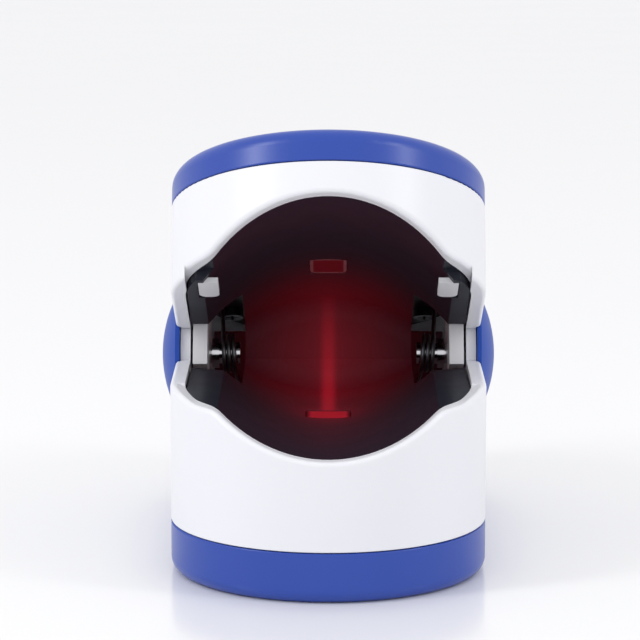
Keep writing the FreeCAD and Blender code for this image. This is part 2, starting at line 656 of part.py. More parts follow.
def upper_housing():
    body = swung_open(new_body("upper_housing"))
    layer(body, "UpperOuter", "0", "UpperLip", "BezelFoot - Seam")
    layer(body, "UpperInner", "Wall", "UpperLip - 1", "BezelFoot + 1", carve)
    sideways(body, "UpperSlope",
             [("HingeY", "UpperLip"), ("BodyLength / 2 + 1", "UpperRear"),
              ("BodyLength / 2 + 1", "UpperLip - 1"), ("HingeY", "UpperLip - 1")],
             "-" + REACH, REACH)
    arch(body, "UpperArch", "UpperArchTop - UpperArchRadius", "UpperArchRadius", "-BodyLength", "-14")
    half = [("ShoulderX - 5", "UpperShoulder + 0.25"), ("ShoulderX", "UpperShoulder - 0.5"),
            ("ShoulderX", "UpperLip - 1")]
    lengthwise(body, "UpperMouth", mirror_pairs(half), "-BodyLength", "-14", carve)
    hinge_round(body, "UpperNotch", "EarClear", "BodyWidth / 2 - Wall - 1", REACH)
    hinge_round(body, "UpperRecess", "CapRecess", "EarOuter", REACH)
    soften(body, "UpperShoulderRound", "ShoulderRound", lambda edge: is_mouth_corner(edge, 21.8, 24))
    soften(body, "UpperLipRound", "LipRound",
           lambda edge: on_wall(edge, 0) and edge.BoundBox.ZMax < 28 and edge.CenterOfMass.y < -1)
    soften(body, "UpperSeamRound", "SeamRound", lambda edge: on_wall(edge, 0) and edge.BoundBox.ZMin > 30)
    return body


def top_bezel():
    body = swung_open(new_body("top_bezel"))
    layer(body, "TopOuter", "0", "BezelFoot", "BodyTop")
    soften(body, "TopEdge", "TopRound", lambda edge: edge.BoundBox.ZMin > size("BodyTop") - 0.01)
    layer(body, "TopInner", "Wall", "BezelFoot - 1", "BodyTop - RoofThick", carve)
    soften(body, "TopSeamRound", "SeamRound", lambda edge: on_wall(edge, 0) and edge.BoundBox.ZMax < 31.3)
    post(body, "TopPosts", UPPER_SCREWS, "PostRadius", "UpperDeck + UpperDeckThick + 0.05", "BodyTop - RoofThick")
    post(body, "TopPostHoles", UPPER_SCREWS, "ScrewRadius", "UpperDeck", "BodyTop - RoofThick - 0.4", carve)
    block(body, "TopWindow", ("-WindowX / 2", "WindowX / 2"),
          ("WindowMid - WindowY / 2", "WindowMid + WindowY / 2"), "BezelFoot", "BodyTop + 1", carve)
    upright = lambda edge: (edge.BoundBox.ZLength > size("RoofThick") - 0.01 and edge.BoundBox.XLength < 0.01
                            and edge.BoundBox.YLength < 0.01 and abs(abs(edge.CenterOfMass.x) - size("WindowX") / 2) < 0.01)
    soften(body, "TopWindowCorners", "2.5", upright)
    post(body, "TopButtonHole", [("0", "ButtonY")], "ButtonRadius + 0.15", "BezelFoot", "BodyTop + 1", carve)
    return body


def display():
    """Window, lit module and what they sit on."""
    def pane(name, margin, low, high, corner):
        slab = box(name + "_slab", (f"-WindowX / 2 + {margin}", f"WindowX / 2 - {margin}"),
                   (f"WindowMid - WindowY / 2 + {margin}", f"WindowMid + WindowY / 2 - {margin}"), (low, high))
        return upright_rounded(name, slab, corner)

    plug = pane("WindowPlug", 0.1, "BodyTop - RoofThick - 0.05", "BodyTop - 0.1", 2.4)
    flange = pane("WindowFlange", -0.8, "BodyTop - RoofThick - 0.65", "BodyTop - RoofThick - 0.05", 2.0)
    swung_open(keep(joined("display_window", [plug, flange]), "display_window"))
    glass = box("DisplayGlass", ("-7.4", "7.4"), ("WindowMid - 13", "WindowMid + 11.5"),
                ("BoardFoot + BoardThick + 0.9", "BodyTop - RoofThick - 0.75"))
    frame = box("DisplayFrame", ("-7.9", "7.9"), ("WindowMid - 13.5", "WindowMid + 12.5"),
                ("BoardFoot + BoardThick", "BoardFoot + BoardThick + 0.9"))
    swung_open(keep(grouped("DisplayGlassAlone", [glass]), "display_module"))
    swung_open(keep(grouped("DisplayFrameAlone", [frame]), "display_frame"))


def power_button():
    body = swung_open(new_body("power_button"))
    post(body, "ButtonTop", [("0", "ButtonY")], "ButtonRadius", "BodyTop - RoofThick - 0.1", "BodyTop + 0.35")
    soften(body, "ButtonEdge", "0.3", lambda edge: edge.BoundBox.ZMin > size("BodyTop"))
    post(body, "ButtonFlange", [("0", "ButtonY")], "ButtonRadius + 0.8",
         "BodyTop - RoofThick - 0.7", "BodyTop - RoofThick - 0.1")
    post(body, "ButtonStem", [("0", "ButtonY")], "1", "BoardFoot + BoardThick + 1.6", "BodyTop - RoofThick - 0.7")
    return body


def electronics():
    """Main board with its processor, sounder and switch."""
    body = swung_open(new_body("main_board"))
    top = "BoardFoot + BoardThick"
    block(body, "BoardPlate", ("-9.5", "9.5"), ("-22.2", "22.2"), "BoardFoot", top)
    post(body, "BoardHoles", [("-7.5", "20"), ("7.5", "20")], "0.8", "BoardFoot - 1", f"{top} + 1", carve)
    chip = box("ProcessorChip", ("-8.6", "-2.6"), ("6.2", "12.2"), (top, f"{top} + 0.9"))
    swung_open(keep(grouped("ProcessorAlone", [chip]), "processor"))
    sounder = rod("SounderCan", "Z", ("6.4", "8.6", top), "2.9", "1.7")
    swung_open(keep(grouped("SounderAlone", [sounder]), "sounder"))
    case = box("SwitchCase", ("-2.2", "2.2"), ("ButtonY - 2.2", "ButtonY + 2.2"), (top, f"{top} + 0.6"))
    plunger = rod("SwitchPlunger", "Z", ("0", "ButtonY", f"{top} + 0.6"), "1.1", "0.4")
    swung_open(keep(joined("tact_switch", [case, plunger]), "tact_switch"))


def detector():
    """Window, photodiode and its small board, over the finger."""
    slab = box("DetectorPane", ("-DetectorX / 2 + 0.05", "DetectorX / 2 - 0.05"),
               ("SensorY - DetectorY / 2 + 0.05", "SensorY + DetectorY / 2 - 0.05"), ("UpperArchTop + 0.02", "28.2"))
    swung_open(keep(upright_rounded("detector_window", slab, 0.9), "detector_window"))
    chip = box("DiodeChip", ("-1.3", "1.3"), ("SensorY - 1.3", "SensorY + 1.3"), ("28.25", "28.85"))
    swung_open(keep(grouped("PhotodiodeAlone", [chip]), "photodiode"))
    plate = box("DetectorPlate", ("-3.8", "3.8"), ("SensorY - 3.2", "SensorY + 3.2"), ("28.85", "29.45"))
    swung_open(keep(grouped("DetectorBoardAlone", [plate]), "detector_board"))


def upper_frame():
    """White chassis: deck, rails, hinge blocks, and the clips that show through the pad."""
    body = swung_open(new_body("upper_frame"))
    top = "UpperDeck + UpperDeckThick"
    layer(body, "UpperDeckPlate", "Wall + Seat", "UpperDeck", top)
    inner_wall = "BodyWidth / 2 - Wall - Seat"
    ear = [("PadBack + 0.9", top), ("PadBack + 0.9", "17"), ("9", "17"), ("12", "19.4"), ("12", top)]
    for side, sign in SIDES:
        rail = (f"{sign} * (PadHalf + 0.2)", f"{sign} * ({inner_wall})")
        block(body, f"UpperRail_{side}", rail, ("-12.2", "PadBack - 0.3"), "UpperRim + 1.3", "UpperDeck")
        low = "BlockInner" if sign > 0 else "-BlockOuter"
        sideways(body, f"HingeBlock_{side}", ear, low, f"({low}) + BlockOuter - BlockInner", extrude)
        block(body, f"ClipStem_{side}", (f"{sign} * 12.9", f"{sign} * 13.9"), ("-17.5", "-12.8"),
              "UpperRim + 0.65", "UpperDeck")
        block(body, f"ClipFoot_{side}", (f"{sign} * 11.75", f"{sign} * 13.9"), ("-17.9", "-12.4"),
              "UpperRim + 0.05", "UpperRim + 0.65")
    soften(body, "ClipRound", "0.95", is_clip_corner)
    hinge_round(body, "UpperPinHole", "PinRadius + PinRun", "12", REACH)
    block(body, "DetectorOpening", ("-4", "4"), ("SensorY - 3.4", "SensorY + 3.4"), "UpperDeck - 1", f"{top} + 1", carve)
    post(body, "UpperScrewHoles", UPPER_SCREWS, "ScrewRadius + 0.1", "UpperDeck - 1", f"{top} + 1", carve)
    return body


def is_clip_corner(edge):
    """An upright edge at the rear end of a clip's foot."""
    middle = edge.CenterOfMass
    upright_edge = edge.BoundBox.XLength < 0.01 and edge.BoundBox.YLength < 0.01
    return upright_edge and middle.z < size("UpperRim") + 0.65 and -12.41 < middle.y < -12.39


def upper_finger_pad():
    body = swung_open(new_body("upper_finger_pad"))
    rim_half = "BodyWidth / 2 - Wall - 0.2"
    over = "UpperRim + 1.15"
    half = [("PadHalf", "UpperPadTop"), ("PadHalf", over), (rim_half, over), (rim_half, "UpperRim")]
    lengthwise(body, "UpperPadFront", mirror_pairs(half), "-BodyLength / 2", "PadBack")
    trim(body, "UpperPadTrim", "Wall + 0.15", "UpperRim - 1", "UpperPadTop + 1")
    block(body, "UpperPadThroat", ("-ThroatHalf", "ThroatHalf"), ("PadBack", "UpperStopBack"),
          "UpperStopFoot", "UpperPadTop")
    arch(body, "UpperTrough", "UpperArchTop - UpperArchRadius", "UpperArchRadius", "-BodyLength", "UpperStopFace")
    lengthwise(body, "UpperPadShoulder",
               [("-10.2", "UpperShoulder + 0.4"), ("-20", "UpperShoulder - 1.2"), ("-20", "UpperRim - 1"),
                ("20", "UpperRim - 1"), ("20", "UpperShoulder - 1.2"), ("10.2", "UpperShoulder + 0.4")],
               "-BodyLength", "-19", carve)
    block(body, "DetectorHole", ("-DetectorX / 2", "DetectorX / 2"),
          ("SensorY - DetectorY / 2", "SensorY + DetectorY / 2"), "UpperRim", "UpperPadTop + 1", carve)
    post(body, "PadScrewRooms", UPPER_SCREWS[0::2], "HeadRadius + 0.2", "UpperPadTop - 1.2", "UpperPadTop + 1", carve)
    for side, sign in SIDES:
        block(body, f"ClipSlot_{side}", (f"{sign} * 12.8", f"{sign} * 14"), ("-17.6", "-12.7"),
              "UpperRim", "UpperPadTop + 1", carve)
        block(body, f"ClipPocket_{side}", (f"{sign} * 11.65", f"{sign} * 14"), ("-18", "-12.3"),
              "UpperRim - 1", "UpperRim + 0.75", carve)
    soften(body, "UpperStopRound", "2.2", lambda edge: is_stop_corner(edge, "UpperStopFace"))
    return body


# ---------------------------------------------------------------- the whole object

lower_housing()
base_cover()
battery_door()
lower_frame()
lower_finger_pad()
emitter()
battery_cells()
keep(grouped("battery_contacts", battery_contacts()), "battery_contacts")
contact_springs()
screws("lower_screws", LOWER_SCREWS, "0.05", "0.75", "LowerDeck - 1.5")
side_caps()
hinge_pins()
torsion_springs()

upper_housing()
top_bezel()
display()
power_button()
electronics()
detector()
upper_frame()
upper_finger_pad()
swung_open(screws("upper_screws", UPPER_SCREWS, "27.3", "28.35", "BodyTop - RoofThick - 0.6"))

doc.recompute()
for item in doc.Objects:
    if "Invalid" in item.State or "Error" in item.State:
        raise RuntimeError(f"{item.Name} failed: {item.State}")
for item in subparts:
    if item.Shape.isNull() or not item.Shape.isValid():
        raise RuntimeError(f"{item.Label} has no valid shape")

os.makedirs("parts", exist_ok=True)
for item in subparts:
    item.Shape.exportStep(f"parts/{item.Label}.step")
    print(f"{item.Label}: {len(item.Shape.Solids)} solid(s), {item.Shape.Volume:.1f} mm3")
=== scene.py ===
import json
import math

import bmesh
import bpy
from mathutils import Matrix, Vector


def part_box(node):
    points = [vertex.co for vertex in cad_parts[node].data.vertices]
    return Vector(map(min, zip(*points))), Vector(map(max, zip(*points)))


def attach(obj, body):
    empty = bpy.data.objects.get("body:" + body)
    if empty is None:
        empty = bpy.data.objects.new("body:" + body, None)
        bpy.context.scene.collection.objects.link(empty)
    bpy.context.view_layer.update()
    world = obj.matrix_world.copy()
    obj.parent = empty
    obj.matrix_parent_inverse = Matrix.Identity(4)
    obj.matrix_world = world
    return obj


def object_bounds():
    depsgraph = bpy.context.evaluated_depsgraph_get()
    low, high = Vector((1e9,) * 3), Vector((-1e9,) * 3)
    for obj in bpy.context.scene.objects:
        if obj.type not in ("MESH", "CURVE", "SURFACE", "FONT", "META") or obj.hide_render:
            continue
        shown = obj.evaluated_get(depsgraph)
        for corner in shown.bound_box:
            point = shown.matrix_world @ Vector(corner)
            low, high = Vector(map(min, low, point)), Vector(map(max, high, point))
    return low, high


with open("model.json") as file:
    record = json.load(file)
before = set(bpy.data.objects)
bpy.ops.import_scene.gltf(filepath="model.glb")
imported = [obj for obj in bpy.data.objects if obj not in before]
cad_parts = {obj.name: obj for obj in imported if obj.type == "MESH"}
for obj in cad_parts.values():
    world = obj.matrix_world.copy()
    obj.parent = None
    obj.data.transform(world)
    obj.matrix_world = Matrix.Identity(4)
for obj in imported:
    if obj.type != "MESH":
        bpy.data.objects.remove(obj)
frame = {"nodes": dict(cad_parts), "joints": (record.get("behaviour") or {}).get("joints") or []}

# The fingertip pulse oximeter with its finished surfaces, on a pale floor in soft light.
# Lengths are in metres, in the part's own frame: the finger goes in along +Y, +Z is up.

MM = 0.001
ROOM_LIGHT = 0.95
# The emitter's light, painted as red emission on the rubber and the windows.
PAINTED_RED_LIGHT = (1.0, 0.02, 0.045, 1)
# The display's lit colours.
CYAN = (0.10, 0.75, 1.0)
AMBER = (1.0, 0.72, 0.08)
GREEN = (0.15, 1.0, 0.3)
# The cover plastic's colour and the one that it drifts towards.
COVER_BLUE = ((0.014, 0.056, 0.36), (0.018, 0.064, 0.39))
CHASSIS_WHITE = (0.78, 0.78, 0.81)

cad_box = [list(corner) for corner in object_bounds()]
scene = bpy.context.scene
nodes = frame["nodes"]
hinge_joint = next(joint for joint in frame["joints"] if joint["name"] == "clip_hinge")
HINGE = Vector(hinge_joint["pos_m"])
OPEN_ANGLE = math.radians(-hinge_joint["range_deg"][0])
# Takes a point of the upper jaw from where it is when shut to where it is at rest, swung open.
SWING = (Matrix.Translation(HINGE)
         @ Matrix.Rotation(-OPEN_ANGLE, 4, "X")
         @ Matrix.Translation(-HINGE))


def shut_box(name):
    """A node's lowest and highest corners with the jaws shut, where it is square to the axes."""
    points = [SWING.inverted() @ vertex.co for vertex in nodes[name].data.vertices]
    return (Vector(min(point[i] for point in points) for i in range(3)),
            Vector(max(point[i] for point in points) for i in range(3)))


# ---------------------------------------------------------------- camera, light and floor

def aim(obj, target):
    """Turns a camera or lamp so that it looks at a point."""
    obj.rotation_euler = (Vector(target) - obj.location).to_track_quat("-Z", "Y").to_euler()


def make_camera():
    """The low front view, looking into the finger opening."""
    elevation = math.radians(10.5)
    distance = 0.320
    mouth = Vector((0, cad_box[0][1], 25 * MM))
    # Aiming this far off the mouth sets where the object lies in the picture.
    aim_offset = Vector((-0.85 * MM, 0, 4.9 * MM))
    camera = bpy.data.objects.new("camera", bpy.data.cameras.new("camera"))
    camera.data.sensor_width = 36
    camera.data.lens = 176.4
    camera.data.clip_start = 0.01
    camera.location = mouth - distance * Vector((0, math.cos(elevation), -math.sin(elevation)))
    aim(camera, mouth + aim_offset)
    scene.collection.objects.link(camera)
    scene.camera = camera


def make_softbox(name, position, target, size, watts):
    """A rectangular lamp that faces a target; its size is width by height."""
    lamp = bpy.data.objects.new(name, bpy.data.lights.new(name, "AREA"))
    lamp.data.shape = "RECTANGLE"
    lamp.data.size, lamp.data.size_y = size
    lamp.data.energy = watts
    lamp.location = position
    aim(lamp, target)
    scene.collection.objects.link(lamp)


def light_scene():
    """An even white room, with a tall softbox high on each side."""
    world = bpy.data.worlds.new("studio")
    world.use_nodes = True
    room = world.node_tree.nodes["Background"]
    room.inputs["Color"].default_value = (0.985, 0.985, 1.0, 1)
    room.inputs["Strength"].default_value = ROOM_LIGHT
    scene.world = world
    middle = (0, 0, 20 * MM)
    make_softbox("left_softbox", position=(-0.40, -0.20, 0.33), target=middle, size=(0.09, 0.30),
                 watts=0.75)
    make_softbox("right_softbox", position=(0.42, -0.18, 0.33), target=middle, size=(0.07, 0.30),
                 watts=0.45)


def make_floor():
    """A pale, faintly glossy table top."""
    half = 4.0
    corners = [(-half, -half, 0), (half, -half, 0), (half, half, 0), (-half, half, 0)]
    mesh = bpy.data.meshes.new("floor")
    mesh.from_pydata(corners, [], [(0, 1, 2, 3)])
    floor = bpy.data.objects.new("floor", mesh)
    scene.collection.objects.link(floor)
    material, tree, shader = new_material("floor_lacquer", (0.885, 0.885, 0.89), 0.16)
    link(tree, between(tree, noise(tree, 8, 3), 0.12, 0.20), shader.inputs["Roughness"])
    mesh.materials.append(material)


# ---------------------------------------------------------------- node material helpers

def new_material(name, base, roughness, specular=0.5):
    """A Principled material; returns it with its tree and shader."""
    material = bpy.data.materials.new(name)
    material.use_nodes = True
    tree = material.node_tree
    shader = tree.nodes["Principled BSDF"]
    shader.inputs["Base Color"].default_value = (*base, 1)
    shader.inputs["Roughness"].default_value = roughness
    shader.inputs["Specular IOR Level"].default_value = specular
    return material, tree, shader


def link(tree, output, socket):
    tree.links.new(output, socket)


def fill(tree, socket, value):
    """Gives a socket a fixed value, or links another node's output to it."""
    if isinstance(value, bpy.types.NodeSocket):
        link(tree, value, socket)
    elif socket.type == "RGBA":
        socket.default_value = (*value, 1)
    else:
        socket.default_value = value


def add_node(tree, kind, inputs, **settings):
    """Adds a node; inputs are keyed by the socket's name or number."""
    made = tree.nodes.new(kind)
    for name, value in settings.items():
        setattr(made, name, value)
    for key, value in inputs.items():
        fill(tree, made.inputs[key], value)
    return made


def place(tree):
    """The surface point as it is at rest, in metres in the part's frame."""
    return add_node(tree, "ShaderNodeTexCoord", {}).outputs["Object"]


def split(tree, vector):
    """The X, Y and Z parts of a vector."""
    return add_node(tree, "ShaderNodeSeparateXYZ", {0: vector}).outputs


def vector_calc(tree, operation, first, second):
    """Vector arithmetic; a dot product gives a number and the rest give a vector."""
    made = add_node(tree, "ShaderNodeVectorMath", {0: first, 1: second}, operation=operation)
    return made.outputs["Value" if operation == "DOT_PRODUCT" else "Vector"]


def noise(tree, scale, detail=3.0, rough=0.5):
    inputs = {"Vector": place(tree), "Scale": scale, "Detail": detail, "Roughness": rough}
    return add_node(tree, "ShaderNodeTexNoise", inputs).outputs["Fac"]


def between(tree, factor, low, high):
    """Maps 0..1 onto low..high."""
    inputs = {"Value": factor, "To Min": low, "To Max": high}
    return add_node(tree, "ShaderNodeMapRange", inputs).outputs["Result"]


def ramp(tree, value, start, end, top=1.0, kind="SMOOTHSTEP"):
    """Rises from 0 where the value is at start to top where it is at end."""
    inputs = {"Value": value, "From Min": start, "From Max": end, "To Min": 0.0, "To Max": top}
    return add_node(tree, "ShaderNodeMapRange", inputs, interpolation_type=kind).outputs["Result"]


def calc(tree, operation, first, second=0.0):
    return add_node(tree, "ShaderNodeMath", {0: first, 1: second}, operation=operation).outputs[0]


def mix_colour(tree, factor, first, second):
    mixed = add_node(tree, "ShaderNodeMix", {"Factor": factor}, data_type="RGBA")
    fill(tree, mixed.inputs[6], first)
    fill(tree, mixed.inputs[7], second)
    return mixed.outputs[2]


def bump(tree, shader, height, strength, distance):
    inputs = {"Height": height, "Strength": strength, "Distance": distance}
    link(tree, add_node(tree, "ShaderNodeBump", inputs).outputs["Normal"], shader.inputs["Normal"])


def soft_ball(tree, centre, spread):
    """Falls smoothly from 1 at the centre to 0 far away, at its own rate along each axis."""
    away = vector_calc(tree, "SUBTRACT", place(tree), centre)
    scaled = vector_calc(tree, "MULTIPLY", away, tuple(1 / length for length in spread))
    squared = vector_calc(tree, "DOT_PRODUCT", scaled, scaled)
    return calc(tree, "EXPONENT", calc(tree, "MULTIPLY", squared, -1.0))


# ---------------------------------------------------------------- surfaces

def moulded(name, base, other, roughness, spread=0.05, grain=0.012 * MM, specular=0.5):
    """Injection-moulded plastic: faint drift in colour and gloss over a fine spark-eroded grain."""
    material, tree, shader = new_material(name, base, roughness, specular)
    link(tree, mix_colour(tree, noise(tree, 60, 2), base, other), shader.inputs["Base Color"])
    uneven_gloss = between(tree, noise(tree, 180, 4, 0.6), roughness - spread, roughness + spread)
    link(tree, uneven_gloss, shader.inputs["Roughness"])
    bump(tree, shader, noise(tree, 2600, 2), 0.3, grain)
    return material


def metal(name, base, roughness, worn_scale=900):
    """Plated or drawn metal with fine wear and a little tarnish."""
    material, tree, shader = new_material(name, base, roughness)
    shader.inputs["Metallic"].default_value = 1.0
    worn = noise(tree, worn_scale, 5, 0.7)
    link(tree, between(tree, worn, roughness * 0.7, roughness * 1.5), shader.inputs["Roughness"])
    darker = tuple(value * 0.75 for value in base)
    link(tree, mix_colour(tree, noise(tree, 300, 3), base, darker), shader.inputs["Base Color"])
    bump(tree, shader, worn, 0.3, 0.004 * MM)
    return material


def rubber_pad_with_painted_glow(name, balls, streak_foot):
    """Black silicone with the red light of the finger channel painted on as emission.

    Each ball is the centre, spread and strength of a painted pool of light. The streak is a painted
    reflection of the emitter, which runs from the emitter up the finger stop and fades with height.
    The rubber is glossier near the front, and the faces that look rearward, outside the channel,
    get no painted light."""
    material, tree, shader = new_material(name, (0.015, 0.017, 0.027), 0.42, 0.20)
    bump(tree, shader, noise(tree, 900, 2), 0.10, 0.02 * MM)
    across, along, up = split(tree, place(tree))
    roughness = between(tree, ramp(tree, along, -20 * MM, 4 * MM), 0.34, 0.68)
    smudge = between(tree, noise(tree, 240, 4, 0.6), -0.06, 0.06)
    link(tree, calc(tree, "ADD", roughness, smudge), shader.inputs["Roughness"])
    # Painted reflection: a narrow red streak up the finger stop, fading with height.
    painted_streak_line = ramp(tree, calc(tree, "ABSOLUTE", across), 1.25 * MM, 0.15 * MM)
    fading = ramp(tree, up, 26 * MM, 15 * MM, 0.15, "LINEAR")
    behind = ramp(tree, along, streak_foot - 0.5 * MM, streak_foot + 0.5 * MM)
    light = calc(tree, "MULTIPLY", calc(tree, "MULTIPLY", painted_streak_line, fading), behind)
    # Painted pools of red light, added one by one.
    for centre, spread, strength in balls:
        pool = calc(tree, "MULTIPLY", soft_ball(tree, centre, spread), strength)
        light = calc(tree, "ADD", light, pool)
    facing = add_node(tree, "ShaderNodeTexCoord", {}).outputs["Normal"]
    _, rearward, _ = split(tree, facing)
    # Painted shade: faces that look rearward lose the painted light.
    light = calc(tree, "MULTIPLY", light, ramp(tree, rearward, 0.6, 0.4))
    uneven = between(tree, noise(tree, 260, 3), 0.9, 1.1)
    link(tree, calc(tree, "MULTIPLY", light, uneven), shader.inputs["Emission Strength"])
    shader.inputs["Emission Color"].default_value = PAINTED_RED_LIGHT
    return material


def from_edge(tree, centre, along_axis, half_x, half_y):
    """How far a point of a rectangular pane lies outside its edges, so it is negative inside."""
    away = vector_calc(tree, "SUBTRACT", place(tree), centre)
    across, _, _ = split(tree, away)
    along = vector_calc(tree, "DOT_PRODUCT", away, along_axis)
    beyond_x = calc(tree, "SUBTRACT", calc(tree, "ABSOLUTE", across), half_x)
    beyond_y = calc(tree, "SUBTRACT", calc(tree, "ABSOLUTE", along), half_y)
    return calc(tree, "MAXIMUM", beyond_x, beyond_y)


def window_with_painted_glow(name, strength):
    """The clear emitter window, with a painted glow of the LED's light, dimmer towards its edges.
    """
    material, tree, shader = new_material(name, (0.03, 0.012, 0.018), 0.3, 0.3)
    low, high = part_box("emitter_window")
    half = (high - low) / 2
    beyond = from_edge(tree, (low + high) / 2, (0, 1, 0), half.x, half.y)
    edge = ramp(tree, beyond, 0, -0.7 * MM)
    cloud = between(tree, noise(tree, 700, 3), 0.85, 1.15)
    lit = calc(tree, "MULTIPLY", calc(tree, "MULTIPLY", edge, cloud), strength)
    # Painted glow: emission stands in for the LED's light shining through the window.
    link(tree, lit, shader.inputs["Emission Strength"])
    shader.inputs["Emission Color"].default_value = PAINTED_RED_LIGHT
    return material


def rimmed_window_painted_glow(name):
    """The detector's window: dark red inside, a pale frosted rim, and a faint painted red glow."""
    inside, frosted = (0.03, 0.008, 0.012), (0.20, 0.16, 0.17)
    material, tree, shader = new_material(name, inside, 0.4, 0.2)
    low, high = shut_box("detector_window")
    half = (high - low) / 2
    along_axis = SWING.to_3x3() @ Vector((0, 1, 0))
    beyond = from_edge(tree, SWING @ ((low + high) / 2), along_axis, half.x, half.y)
    rim = ramp(tree, beyond, -0.42 * MM, -0.30 * MM)
    link(tree, mix_colour(tree, rim, inside, frosted), shader.inputs["Base Color"])
    bump(tree, shader, noise(tree, 1200, 3), 0.2, 0.01 * MM)
    # Painted glow: a faint red emission stands in for the emitter's light reaching this window.
    shader.inputs["Emission Color"].default_value = PAINTED_RED_LIGHT
    shader.inputs["Emission Strength"].default_value = 0.05
    return material


def smoked_glass():
    """Clear grey acrylic with faint wipe marks."""
    material, tree, shader = new_material("smoked_glass", (0.30, 0.31, 0.34), 0.04)
    shader.inputs["Transmission Weight"].default_value = 1.0
    shader.inputs["IOR"].default_value = 1.46
    link(tree, between(tree, noise(tree, 120, 4), 0.02, 0.07), shader.inputs["Roughness"])
    return material


def circuit_board():
    """Green solder mask over a faint grid of copper tracks."""
    mask, track = (0.012, 0.10, 0.035), (0.03, 0.19, 0.07)
    material, tree, shader = new_material("circuit_board", mask, 0.35)
    inputs = {"Vector": place(tree), "Scale": 400, "Mortar Size": 0.06, "Brick Width": 0.9,
              "Row Height": 0.35}
    tracks = add_node(tree, "ShaderNodeTexBrick", inputs, offset=0.37).outputs["Fac"]
    link(tree, mix_colour(tree, tracks, mask, track), shader.inputs["Base Color"])
    bump(tree, shader, tracks, 0.3, 0.02 * MM)
    return material


def cell_jacket():
    """Dark shrink film with an amber band at the far end."""
    dark, amber = (0.03, 0.034, 0.045), (0.50, 0.27, 0.03)
    material, tree, shader = new_material("cell_jacket", dark, 0.25)
    _, along, _ = split(tree, place(tree))
    band = ramp(tree, along, 12 * MM, 12.2 * MM)
    link(tree, mix_colour(tree, band, dark, amber), shader.inputs["Base Color"])
    bump(tree, shader, noise(tree, 500, 3), 0.2, 0.02 * MM)
    return material


def screen_glass():
    """The display's dark face, with its pixel grid."""
    dark, paler = (0.004, 0.005, 0.008), (0.006, 0.007, 0.011)
    material, tree, shader = new_material("screen_glass", dark, 0.25)
    inputs = {"Vector": place(tree), "Scale": 4000}
    grid = add_node(tree, "ShaderNodeTexChecker", inputs).outputs["Fac"]
    link(tree, mix_colour(tree, grid, dark, paler), shader.inputs["Base Color"])
    return material


def lit_segment(name, colour, strength):
    """A lit display segment, a little uneven."""
    material, tree, shader = new_material(name, tuple(value * 0.3 for value in colour), 0.5)
    shader.inputs["Emission Color"].default_value = (*colour, 1)
    link(tree, between(tree, noise(tree, 500, 2), strength * 0.85, strength * 1.15),
         shader.inputs["Emission Strength"])
    return material


def chassis_with_painted_shade():
    """White plastic, with painted shade: black on the deck between the hinge blocks."""
    black = (0.012, 0.012, 0.018)
    material, tree, shader = new_material("chassis_with_painted_shade", CHASSIS_WHITE, 0.5)
    across, along, _ = split(tree, place(tree))
    # Painted shade: the deck between the hinge blocks is coloured black, where shade falls.
    inward = ramp(tree, calc(tree, "ABSOLUTE", across), 13.4 * MM, 13.3 * MM)
    painted_shade_mask = calc(tree, "MULTIPLY", inward, ramp(tree, along, -3.0 * MM, -2.9 * MM))
    link(tree, mix_colour(tree, painted_shade_mask, CHASSIS_WHITE, black), shader.inputs["Base Color"])
    link(tree, between(tree, noise(tree, 180, 4, 0.6), 0.45, 0.55), shader.inputs["Roughness"])
    bump(tree, shader, noise(tree, 2600, 2), 0.3, 0.03 * MM)
    return material


def dress(material, *names):
    """Gives the named nodes one material in place of their own."""
    for name in names:
        mesh = nodes[name].data
        mesh.materials.clear()
        mesh.materials.append(material)


